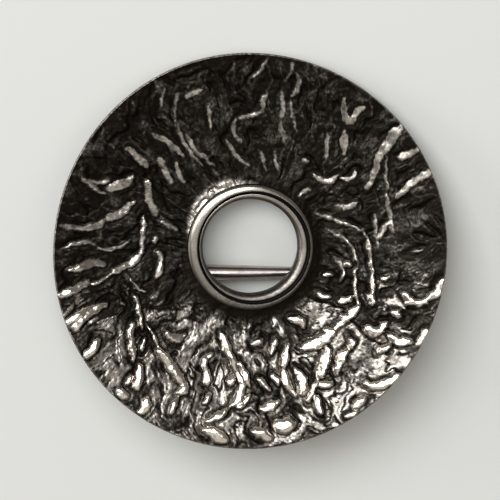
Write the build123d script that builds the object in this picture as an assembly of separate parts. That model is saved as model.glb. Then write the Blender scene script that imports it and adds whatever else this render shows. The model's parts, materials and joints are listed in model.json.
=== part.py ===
from build123d import *
from collections import namedtuple
from math import atan, cos, degrees, exp, hypot, pi, radians, sin, tan
import os

# A round silver brooch with a crinkled face and a ringed hole, pinned on by a hinged stem.
# It is drawn face up about the axis of its plate, with +Y towards the top of the face, and
# then laid down as it rests by itself: on its hinge, its catch and the top of its rim.

# Driving dimensions in millimetres: the plate
disc_diameter = 45.0
plate_thickness = 1.1
dish_depth = 2.4            # how far the rim stands forward of the plate's middle
relief_height = 0.55        # from the valleys of the crinkled face up to its highest crests
valley_depth = 0.12         # how far the valleys lie below the plate's plain face

# The collar round the hole: a short stepped tube with a ring of wire on each step
hole_diameter = 10.9
hole_offset = 0.45          # how far the hole sits above the disc's centre
inner_wire = 0.8
outer_wire = 0.92
wire_groove = 0.09          # space between the two wires
inner_wire_rise = 0.75      # centre of each wire above the plate's plain face
outer_wire_rise = 1.44
tube_inset = 0.1            # how far the tube's outside lies within the outer wire's
collar_foot = 0.4           # how far the tube stands out at the back

# The pin, its hinge and its catch
pin_offset = 2.93           # how far the pin lies below the disc's centre
pin_depth = 3.6             # how far the pin's axis lies behind the plate's plain face
hinge_inset = 7.3           # from the rim in to the hinge and to the catch
catch_inset = 7.8
pin_root_diameter = 2.0
pin_root_length = 10.0      # the stretch of full thickness beside the hinge
pin_catch_diameter = 0.8
pin_tip_diameter = 0.3
pin_overhang = 2.6          # from the catch's middle on to the tip
knuckle_diameter = 2.3
knuckle_width = 2.1
ear_thickness = 0.7
ear_radius = 1.3
pad_thickness = 0.6
pad_margin = 0.7            # how far the hinge's pad stands out round its ears
rivet_diameter = 1.0
rivet_head_diameter = 1.7
rivet_head_thickness = 0.35
catch_width = 2.6
catch_bore = 1.35
catch_mouth = 1.0
catch_neck = 0.95
solder_bite = 0.3           # how far hinge, catch and wires sink into what carries them

# Clearances
hinge_clearance = 0.05      # knuckle on rivet, and knuckle beside each ear
rivet_clearance = 0.02      # rivet in the ears, and its heads beside them

# Flats of the crinkled skin
face_turns = 132            # flats round the disc
face_rings = 17             # flats from the collar out to the rim
back_rings = 3
ridge_steps = 8             # short straight runs along one ridge
ripple_turns = 29           # fine radial ripples round the disc

disc_radius = disc_diameter / 2
bore_radius = hole_diameter / 2
inner_wire_ring = bore_radius + inner_wire / 2
outer_wire_ring = bore_radius + inner_wire + wire_groove + outer_wire / 2
collar_radius = outer_wire_ring + outer_wire / 2
tube_radius = collar_radius - tube_inset
skin_bore = (bore_radius + tube_radius) / 2
hinge_x = -(disc_radius - hinge_inset)
catch_x = disc_radius - catch_inset
pin_y = -pin_offset
pin_z = -pin_depth

# Waves by which the rim wanders out of a true circle: how many there are round the disc, how
# far they reach out in millimetres, and the turn in degrees at which the first one peaks
RimWave = namedtuple("RimWave", "count size peak")
rim_waves = [
    RimWave(1, 0.10, 190),
    RimWave(2, 0.11, 70),
    RimWave(3, 0.06, 357),
    RimWave(4, 0.04, 19),
]

# Ridges of the crinkled face, each a curve through three places. A turn is in degrees from
# the right of the face, and a reach runs from 0 at the collar to 1 at the rim. The crest is a
# share of relief_height, and the breadth a share of ridge_breadth.
ridge_breadth = 0.95
Ridge = namedtuple("Ridge", "turn_1 reach_1 turn_2 reach_2 turn_3 reach_3 crest breadth")
ridges = [
    Ridge(85, 0.98, 90, 0.82, 96, 0.72, 0.8, 1.0),
    Ridge(84, 0.72, 94, 0.54, 96, 0.36, 0.9, 0.9),
    Ridge(78, 0.97, 74, 0.78, 69, 0.50, 0.8, 0.9),
    Ridge(79, 0.73, 77, 0.56, 72, 0.38, 0.6, 0.8),
    Ridge(66, 0.94, 66, 0.88, 65, 0.80, 0.7, 0.8),
    Ridge(58, 0.85, 53, 0.70, 46, 0.53, 0.9, 1.5),
    Ridge(53, 0.97, 54, 0.80, 52, 0.67, 0.7, 1.0),
    Ridge(40, 1.00, 36, 0.75, 27, 0.51, 1.0, 1.5),
    Ridge(36, 0.76, 23, 0.64, 7, 0.61, 0.7, 0.9),
    Ridge(18, 0.50, 11, 0.49, 5, 0.47, 0.6, 0.8),
    Ridge(32, 0.08, 13, 0.34, -11, 0.50, 0.9, 1.0),
    Ridge(10, 0.14, -16, 0.35, -63, 0.33, 1.0, 1.1),
    Ridge(4, 0.35, -6, 0.42, -17, 0.50, 0.6, 0.8),
    Ridge(0, 0.64, -4, 0.80, -5, 0.95, 0.8, 1.1),
    Ridge(-19, 0.65, -21, 0.80, -21, 0.98, 0.8, 1.1),
    Ridge(-32, 0.66, -33, 0.84, -35, 0.97, 0.8, 1.2),
    Ridge(-28, 0.32, -29, 0.57, -29, 0.74, 0.9, 1.1),
    Ridge(-49, 0.40, -60, 0.56, -68, 0.73, 0.9, 1.0),
    Ridge(-47, 0.55, -52, 0.62, -57, 0.69, 0.7, 0.9),
    Ridge(-68, 0.23, -74, 0.43, -74, 0.60, 0.9, 1.0),
    Ridge(-69, 0.51, -70, 0.59, -71, 0.67, 0.7, 0.8),
    Ridge(-85, 0.59, -83, 0.74, -81, 0.89, 0.8, 1.0),
    Ridge(262, 0.29, 269, 0.51, 265, 0.71, 0.9, 1.0),
    Ridge(259, 0.61, 256, 0.76, 254, 0.88, 0.7, 1.0),
    Ridge(248, 0.36, 249, 0.45, 250, 0.55, 0.8, 0.9),
    Ridge(216, 0.17, 232, 0.23, 242, 0.33, 0.7, 0.9),
    Ridge(227, 0.52, 241, 0.57, 243, 0.71, 0.9, 1.0),
    Ridge(225, 0.72, 228, 0.78, 230, 0.83, 0.7, 0.9),
    Ridge(207, 0.36, 223, 0.40, 234, 0.54, 0.7, 0.9),
    Ridge(201, 0.58, 210, 0.56, 221, 0.61, 0.7, 0.9),
    Ridge(151, 0.43, 173, 0.32, 192, 0.65, 1.0, 1.1),
    Ridge(202, 1.00, 203, 0.88, 203, 0.78, 0.8, 0.9),
    Ridge(196, 1.00, 195, 0.86, 194, 0.71, 0.7, 0.9),
    Ridge(188, 0.93, 187, 0.81, 186, 0.68, 0.7, 0.9),
    Ridge(179, 0.94, 176, 0.70, 174, 0.44, 0.8, 0.9),
    Ridge(174, 0.97, 170, 0.69, 161, 0.49, 0.8, 0.9),
    Ridge(162, 0.99, 155, 0.74, 149, 0.54, 0.9, 1.0),
    Ridge(118, 0.89, 121, 0.81, 124, 0.74, 0.7, 0.9),
    Ridge(115, 0.80, 120, 0.58, 121, 0.20, 0.9, 1.0),
    Ridge(110, 0.80, 111, 0.72, 110, 0.62, 0.7, 0.9),
    Ridge(106, 0.67, 107, 0.58, 108, 0.48, 0.7, 0.8),
    Ridge(105, 0.37, 102, 0.29, 99, 0.17, 0.7, 0.8),
]


def dish(radius):
    """Height of the plate's plain face, which is a shallow bowl about the disc's centre."""
    return dish_depth * (radius / disc_radius) ** 2


def rim_at(turn):
    """Radius of the rim, which wanders a little out of a true circle."""
    return disc_radius + sum(w.size * cos(w.count * (turn - radians(w.peak))) for w in rim_waves)


def on_face(turn, reach):
    """Place on the disc for a turn in radians and a reach from collar to rim."""
    radius = collar_radius + (rim_at(turn) - collar_radius) * reach
    return radius * cos(turn), radius * sin(turn)


def ridge_line(ridge):
    """Points along one ridge, on a smooth curve through its three places."""
    points = []
    for step in range(ridge_steps + 1):
        t = step / ridge_steps
        first, middle, last = (1 - t) * (1 - 2 * t), 4 * t * (1 - t), t * (2 * t - 1)
        turn = first * ridge.turn_1 + middle * ridge.turn_2 + last * ridge.turn_3
        reach = first * ridge.reach_1 + middle * ridge.reach_2 + last * ridge.reach_3
        points.append(on_face(radians(turn), reach))
    return points


def distance_to_run(x, y, start, end):
    """Distance from a place on the face to one straight run of a ridge."""
    run_x, run_y = end[0] - start[0], end[1] - start[1]
    along = ((x - start[0]) * run_x + (y - start[1]) * run_y) / (run_x**2 + run_y**2)
    along = min(1, max(0, along))
    return hypot(x - start[0] - along * run_x, y - start[1] - along * run_y)


ridge_lines = [(ridge, ridge_line(ridge)) for ridge in ridges]


def relief(turn, reach):
    """Height of the crinkled face above its valleys at one place."""
    x, y = on_face(turn, reach)
    ripple = sin(ripple_turns * turn + 3 * sin(2 * turn + 7 * reach) + 4 * reach)
    height = relief_height * (0.2 + 0.18 * ripple * sin(11 * reach + 5 * turn))
    for ridge, line in ridge_lines:
        breadth = ridge.breadth * ridge_breadth
        away = min(distance_to_run(x, y, a, b) for a, b in zip(line, line[1:]))
        height = max(height, relief_height * ridge.crest * exp(-((away / breadth) ** 2)))
    beside_collar = min(1, reach / 0.08)
    return height * beside_collar


def flat(*corners):
    """One flat of the skin."""
    return Face(Wire.make_polygon([Vector(*corner) for corner in corners]))


def crinkled_plate():
    """The dished plate as a closed skin of flats: its face, back, rim and hole edge."""
    turns = [2 * pi * i / face_turns for i in range(face_turns)]
    front, back = [], []
    for turn in turns:
        column = [(skin_bore * cos(turn), skin_bore * sin(turn), dish(skin_bore) - valley_depth)]
        for ring in range(face_rings + 1):
            reach = ring / face_rings
            x, y = on_face(turn, reach)
            column.append((x, y, dish(hypot(x, y)) - valley_depth + relief(turn, reach)))
        front.append(column)
        column = []
        for ring in range(back_rings):
            radius = skin_bore + (disc_radius - skin_bore) * ring / back_rings
            column.append((radius * cos(turn), radius * sin(turn), dish(radius) - plate_thickness))
        x, y = on_face(turn, 1)
        column.append((x, y, dish(disc_radius) - plate_thickness))
        back.append(column)
    flats = []
    for i in range(face_turns):
        here, there = front[i], front[(i + 1) % face_turns]
        for j in range(face_rings + 1):
            flats.append(flat(here[j], here[j + 1], there[j + 1]))
            flats.append(flat(here[j], there[j + 1], there[j]))
        under, over = back[i], back[(i + 1) % face_turns]
        for j in range(back_rings - 1):
            flats.append(flat(under[j], over[j], over[j + 1], under[j + 1]))
        flats.append(flat(under[-2], over[-2], over[-1]))
        flats.append(flat(under[-2], over[-1], under[-1]))
        for j in (0, -1):
            flats.append(flat(here[j], there[j], over[j]))
            flats.append(flat(here[j], over[j], under[j]))
    return Solid(Shell(flats))


def collar():
    """The stepped tube through the plate, with a low inner wire and a high outer wire on it."""
    foot = dish(tube_radius) - plate_thickness - collar_foot
    step_radius = outer_wire_ring - outer_wire / 4
    outline = [
        (bore_radius, foot),
        (bore_radius, inner_wire_rise),
        (step_radius, inner_wire_rise),
        (step_radius, outer_wire_rise),
        (tube_radius, outer_wire_rise),
        (tube_radius, foot),
    ]
    section = make_face(Polyline(*[(r, 0, z) for r, z in outline], close=True))
    tube = revolve(section, Axis.Z)
    low = Pos(0, 0, inner_wire_rise) * Torus(inner_wire_ring, inner_wire / 2)
    high = Pos(0, 0, outer_wire_rise) * Torus(outer_wire_ring, outer_wire / 2)
    return Pos(0, hole_offset, 0) * (tube + low + high)


def below_plate():
    """All the space behind the plate's back and a solder's bite into it."""
    reach = disc_diameter
    steps = [disc_radius * step / 8 for step in range(11)]
    curve = [(r, dish(r) - plate_thickness + solder_bite) for r in steps]
    outline = [(0, -reach)] + curve + [(steps[-1], -reach)]
    section = make_face(Polyline(*[(r, 0, z) for r, z in outline], close=True))
    return revolve(section, Axis.Z)


def back_at(x, y):
    """Height of the plate's back behind one place."""
    return dish(hypot(x, y)) - plate_thickness


def lying_tilt():
    """Angle at which the disc leans when it lies on its hinge's ears and the top of its rim."""
    ear_y = pin_y + knuckle_width / 2 + hinge_clearance + ear_thickness
    rise = dish(disc_radius) - plate_thickness - (pin_z - ear_radius)
    return atan(rise / (rim_at(pi / 2) - ear_y))


def hinge_bracket():
    """A pad soldered to the back, with two ears that hold the rivet."""
    top = dish(disc_radius)
    spread = (knuckle_width + ear_thickness) / 2 + hinge_clearance
    ear_height = top - pin_z
    ears = []
    for side in (-1, 1):
        post = Pos(0, 0, ear_height / 2) * Box(2 * ear_radius, ear_thickness, ear_height)
        foot = Rot(90, 0, 0) * Cylinder(ear_radius, ear_thickness)
        ears.append(Pos(hinge_x, pin_y + side * spread, pin_z) * (post + foot))
    pad_x, pad_y = 2 * (ear_radius + pad_margin), 2 * (spread + ear_thickness / 2 + pad_margin)
    pad_low = back_at(hinge_x + ear_radius + pad_margin, pin_y) - pad_thickness
    pad = Pos(hinge_x, pin_y, (pad_low + top) / 2) * Box(pad_x, pad_y, top - pad_low)
    hole = Pos(hinge_x, pin_y, pin_z) * Rot(90, 0, 0) * Cylinder(
        rivet_diameter / 2 + rivet_clearance, pad_y
    )
    return (ears[0] + ears[1] + pad) - hole


def catch(tilt):
    """An open round hook on a neck, whose lips reach down to the plane that the ears rest on."""
    ear_lead = knuckle_width / 2 + hinge_clearance + ear_thickness - catch_mouth / 2
    drop = ear_radius + ear_lead * tan(tilt)
    hook_radius = hypot(drop, catch_mouth / 2)
    top = dish(disc_radius) - pin_z
    bore = Rot(0, 90, 0) * Cylinder(catch_bore / 2, catch_width)
    hook = Rot(0, 90, 0) * Cylinder(hook_radius, catch_width)
    neck = Pos(0, 0, top / 2) * Box(catch_width, catch_neck, top)
    mouth = Pos(0, 0, -hook_radius / 2) * Box(catch_width, catch_mouth, hook_radius)
    return Pos(catch_x, pin_y, pin_z) * (hook + neck - bore - mouth)


def pin_stem():
    """The round pin: a knuckle on the rivet, a thick root, a long taper and a point."""
    root = rivet_diameter / 2 + hinge_clearance
    at_catch = catch_x - catch_width / 2 - hinge_x
    tip = catch_x + pin_overhang - hinge_x
    outline = [
        (root, 0),
        (root, pin_root_diameter / 2),
        (pin_root_length, pin_root_diameter / 2),
        (at_catch, pin_catch_diameter / 2),
        (at_catch + catch_width, pin_catch_diameter / 2),
        (tip, pin_tip_diameter / 2),
        (tip, 0),
    ]
    section = make_face(Polyline(*[(x, 0, z) for x, z in outline], close=True))
    shaft = revolve(section, Axis.X)
    knuckle = Rot(90, 0, 0) * Cylinder(knuckle_diameter / 2, knuckle_width)
    hole = Rot(90, 0, 0) * Cylinder(root, knuckle_width)
    return Pos(hinge_x, pin_y, pin_z) * (shaft + knuckle - hole)


def hinge_rivet():
    """A straight rivet with a flat head outside each ear."""
    ears_out = knuckle_width / 2 + hinge_clearance + ear_thickness + rivet_clearance
    length = 2 * (ears_out + rivet_head_thickness)
    rivet = Cylinder(rivet_diameter / 2, length)
    for side in (-1, 1):
        middle = side * (ears_out + rivet_head_thickness / 2)
        rivet += Pos(0, 0, middle) * Cylinder(rivet_head_diameter / 2, rivet_head_thickness)
    return Pos(hinge_x, pin_y, pin_z) * Rot(90, 0, 0) * rivet


def brooch_disc(tilt):
    """Plate, collar, hinge bracket and catch, soldered into one."""
    findings = (hinge_bracket() + catch(tilt)) & below_plate()
    ring = collar()
    disc = crinkled_plate() - Pos(0, hole_offset, 0) * Cylinder(bore_radius, disc_diameter)
    return disc + ring + findings


tilt = lying_tilt()
lean = Rot(-degrees(tilt), 0, 0)
nodes = {
    "brooch_disc": lean * brooch_disc(tilt),
    "pin_stem": lean * pin_stem(),
    "hinge_rivet": lean * hinge_rivet(),
}
box = Compound(list(nodes.values())).bounding_box()
seat = Pos(-(box.min.X + box.max.X) / 2, -(box.min.Y + box.max.Y) / 2, -box.min.Z)

os.makedirs("parts", exist_ok=True)
for name, solid in nodes.items():
    export_step(seat * solid, f"parts/{name}.step")
    print(name, "volume", round(solid.volume, 1))

placed = seat * lean
axis_place = placed * Pos(hinge_x, pin_y, pin_z)
face_place = placed * Pos(0, hole_offset, 0)
print("tilt", round(degrees(tilt), 3))
print("hinge", axis_place.position, "axis", (axis_place * Pos(0, 1, 0)).position - axis_place.position)
print("hole", face_place.position, "normal", (face_place * Pos(0, 0, 1)).position - face_place.position)
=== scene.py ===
import bmesh
import bpy
import json
from math import asin, atan2, cos, hypot, pi, radians, sin, tan
from mathutils import Matrix, Vector


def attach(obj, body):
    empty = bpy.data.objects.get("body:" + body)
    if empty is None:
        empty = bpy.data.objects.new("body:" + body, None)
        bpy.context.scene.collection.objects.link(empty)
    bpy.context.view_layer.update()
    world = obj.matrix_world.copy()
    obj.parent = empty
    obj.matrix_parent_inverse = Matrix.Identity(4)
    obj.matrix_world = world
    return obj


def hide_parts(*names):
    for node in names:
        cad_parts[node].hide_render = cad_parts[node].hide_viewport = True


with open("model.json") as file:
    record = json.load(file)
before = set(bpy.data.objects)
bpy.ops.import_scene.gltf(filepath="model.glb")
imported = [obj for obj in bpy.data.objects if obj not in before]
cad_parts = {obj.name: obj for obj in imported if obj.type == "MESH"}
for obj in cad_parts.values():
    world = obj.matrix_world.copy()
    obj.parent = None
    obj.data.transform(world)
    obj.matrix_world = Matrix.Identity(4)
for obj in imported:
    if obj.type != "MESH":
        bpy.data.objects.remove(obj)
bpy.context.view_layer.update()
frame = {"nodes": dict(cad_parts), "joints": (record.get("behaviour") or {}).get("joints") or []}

# The brooch's own frame
# Its pieces are drawn face up about the plate's axis, in millimetres, and then laid down as the
# brooch lies, leaning on its hinge, its catch and the top of its rim.
MM = 0.001

# The place that the pin swings about, as it is drawn. The frame tells where it lies.
hinge_x, pin_y, pin_z = -15.2, -2.93, -3.6
swing = frame["joints"][0]
lean = Matrix.Rotation(-atan2(-swing["axis"][2], swing["axis"][1]), 4, "X")
middle = Vector(swing["pos_m"]) - lean @ (Vector((hinge_x, pin_y, pin_z)) * MM)
laid_down = Matrix.Translation(middle) @ lean @ Matrix.Scale(MM, 4)


# Crinkled plate
# The body of the brooch: one round plate of silver, heated until its skin wrinkled, dished a
# little, then blackened all over and rubbed bright on its ridges.
disc_radius = 22.49
plate_thickness = 1.1
dish_depth = 2.4
plate_bore = 6.5
collar_radius = 7.28
hole_offset = 0.45
rim_round = 0.18
rim_round_steps = 4

# The mesh of the face, which is half as fine round the disc inside the coarse radius, and the
# places of the rings across the back, as shares of the way from the bore to the rim
face_spacing = 0.15
finest_turns = 960
coarse_inside = 12.0
back_shares = (0.95, 0.85, 0.7, 0.55, 0.4, 0.25, 0.12, 0.0)

# Waves by which the rim wanders out of a true circle: how many there are round the disc, how far
# they reach out, and the turn in degrees at which the first one peaks
rim_columns = ("count", "size", "peak")
rim_rows = ((1, 0.10, 190), (2, 0.11, 70), (3, 0.06, 357), (4, 0.04, 19))

# A ridge thins to a share of its width at both ends. All are drawn a little wider than charted,
# and more so low on the face, from one height downward over a short way.
ridge_steps = 14
widest_ridge = 1.05
width_at_ends = 0.3
wider_all_over = 1.15
wider_low_down = 0.2
wider_from, wider_over = -3.0, 4.0

# A ridge's crest: how far it spreads over its border, its fullness and its height, the share of
# the folds and grain that it smooths away, and the depth of the valley beside it
crest_spread = 0.03
crest_fullness = 0.27
crest_height = 1.2
crest_smoothing = 0.85
valley_depth = 0.12

# The folds are mostly broad swells, with a share of narrow ones. Beside the collar is a bare dark
# band, black patina in its recess widened to the lower right by painted shadow, and, to its upper
# left, a bright crescent of painted highlight, each round a centre of its own.
broad_share, narrow_share = 0.8, 0.2
hole_centre = (0.0, hole_offset, 0.0)
# The band's centre lies to the lower right of the hole, so the band is widest there: painted shadow
# of the collar. The crescent's centre lies to the upper left: painted highlight.
patina_and_shadow_band_centre = (0.45, -0.1, 0.0)
crescent_centre = (-1.75, 2.70, 0.0)

# How sharply rubbed silver stands out from black silver
rub_contrast = 1.6

# Clouds of noise. A name among a row's values stands for the tree's input of that name.
cloud_columns = ("Scale", "Detail", "Roughness")
clouds = {
    # Across the face, in waves to a millimetre
    "wandering border": (0.9, 3.0, 0.5),
    "ragged border": (1.1, 2.0, 0.5),
    "swirl": (0.2, 2.0, 0.5),
    "rolling": (0.55, 2.0, 0.5),
    "grain": (2.6, 2.0, 0.5),
    "cracks": ("Cracks to a mm", 2.0, 0.5),
    "patches": (0.34, 1.5, 0.5),
    "deep valleys": (0.45, 1.5, 0.5),
    "worn ridges": (1.3, 3.0, 0.6),
    # By a measure that runs with the folds or threads, of which one unit is about one of them
    "broad folds": (1.15, 1.5, 0.5),
    "narrow folds": (1.7, 1.0, 0.5),
    "streaks": (0.8, 3.0, 0.6),
    "fraying": (2.8, 2.0, 0.5),
    "threads": (1.0, 1.0, 0.5),
    # On the surface of the silver, in waves to a metre
    "mottling": (3200.0, 3.0, 0.6),
    "stain": (420.0, 3.0, 0.5),
    "silver grain": (6500.0, 4.0, 0.65),
}

# Eases, which turn a measure into a result: from the first result to the last one as the measure
# goes from start to end
ease_columns = ("start", "end", "first", "last")
eases = {
    # By how far inside a ridge's border a place is, in square millimetres
    "ridge": (-0.05, 0.05, 0.0, 1.0),
    "valley": (-0.55, -0.12, 0.0, 1.0),
    # By the height on the face, in millimetres
    "valley by height": (6.0, -9.0, 0.35, 1.0),
    "ridge height": (6.0, -9.0, "Ridge height, top", "Ridge height, bottom"),
    "fold height": (6.0, -9.0, "Fold height, top", "Fold height, bottom"),
    "rolling height": (4.0, -7.0, "Rolling height, top", "Rolling height, bottom"),
    # The rub of ridges, folds and hollows grows towards the bottom, and fold rub is harsher at the
    # top: painted light, brighter on the lower face and darker on the upper.
    "ridge rub and painted light": (2.0, -9.0, 0.69, 1.2),
    "fold rub and painted light": (0.0, -11.0, "Fold rub and painted light, top", "Fold rub and painted light, bottom"),
    "contrast of fold rub and painted light": (0.0, -11.0, 4.5, 1.0),
    "hollow rub and painted light": (0.0, -11.0, 0.4, "Hollow rub and painted light"),
    "thread rub": (-9.0, 3.0, 0.3, 1.0),
    # By the distance from a centre, or across the face, in millimetres
    "relief at the rim": (disc_radius - 2.0, disc_radius - 0.2, 1.0, "Rim relief"),
    "swell at the collar": (collar_radius - 0.6, collar_radius + 1.3, "Collar swell", 0.0),
    # Painted shadow: the black band beside the collar, widest to the lower right
    "patina and shadow band": (collar_radius + 0.3, collar_radius + 1.4, 0.0, 1.0),
    # Painted highlight: the bright crescent at the collar's upper left
    "crescent": (5.8, 5.0, 0.0, 1.0),
    "rub beside the collar": (9.0, 17.0, "Rub beside the collar", 1.0),
    # Painted shade: the folds are rubbed less, and so darker, towards the left
    "painted shade to the left": (-12.0, 2.0, "Painted shade to the left", 1.0),
    # By the noise of the folds, cracks and threads
    "broad swell": (-0.12, 0.0, -1.0, 1.0),
    "narrow swell": (-0.08, 0.08, -1.0, 1.0),
    "crease": (-0.07, -0.03, 0.0, 1.0),
    "narrow crease": (0.0, 0.04, 0.35, 1.0),
    "hollow": (-0.08, -0.11, 0.0, 1.0),
    "crack": (0.0, 0.03, 0.3, 1.0),
    "thread": (0.045, 0.01, 0.0, "Thread rub"),
    # By a cloud of noise
    "streak": (0.42, 0.53, 0.35, 1.0),
    "patch": (0.36, 0.58, 0.35, 1.2),
    "deep valley": (0.42, 0.58, 0.3, 0.95),
    "worn ridge": (0.3, 0.6, 0.7, 1.2),
    "streak of the crescent": (0.0, 0.8, 0.6, 1.0),
    # By the silver's mottling and stain, and by its rub
    "mottled": (0.7, 0.36, 0.0, 1.0),
    "stained": (0.3, 0.7, 0.72, 1.0),
    "mottling by rub": (0.2, 1.1, 2.0, 0.2),
    "roughness": (0.0, 1.0, "Black roughness", "Bright roughness"),
}

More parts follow.
